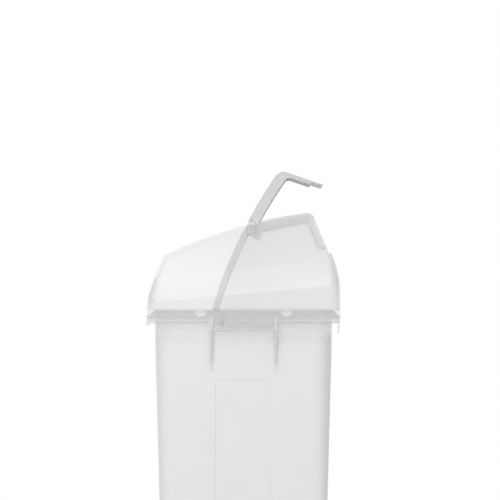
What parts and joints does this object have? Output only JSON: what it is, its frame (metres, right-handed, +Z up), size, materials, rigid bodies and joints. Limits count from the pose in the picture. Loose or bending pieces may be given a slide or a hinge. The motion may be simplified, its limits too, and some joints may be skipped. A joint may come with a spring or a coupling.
{
  "type": "swing-lid trash can",
  "caption": "Tapered kitchen bin with a lift-off hood and a one-way swing flap on hinge pins, shown with the flap swung open.",
  "frame": {"origin": "middle of the bin's footprint on the floor", "axes": "+Z up, +X from the front, where the flap goes down, towards the back, +Y to the far side of the picture"},
  "size_m": [0.4092, 0.3358, 0.7713],
  "materials": {
    "bin_plastic": "frosted translucent light grey polypropylene",
    "hood_plastic": "frosted translucent light grey polypropylene",
    "flap_plastic": "frosted light grey polypropylene",
    "pin_plastic": "satin light grey plastic"
  },
  "bodies": {
    "bin": {"bin_body": "bin_plastic"},
    "hood": {"hood": "hood_plastic", "hinge_pin_near": "pin_plastic", "hinge_pin_far": "pin_plastic"},
    "flap": {"swing_flap": "flap_plastic"}
  },
  "joints": [
    {"name": "hood_lift", "type": "slide", "parent": "bin", "child": "hood", "axis": [0, 0, 1], "range_m": [0, 0.12]},
    {"name": "flap_swing", "type": "hinge", "parent": "hood", "child": "flap", "pos_m": [0.0174, 0, 0.6563], "axis": [0, -1, 0], "range_deg": [-48, 27]}
  ]
}
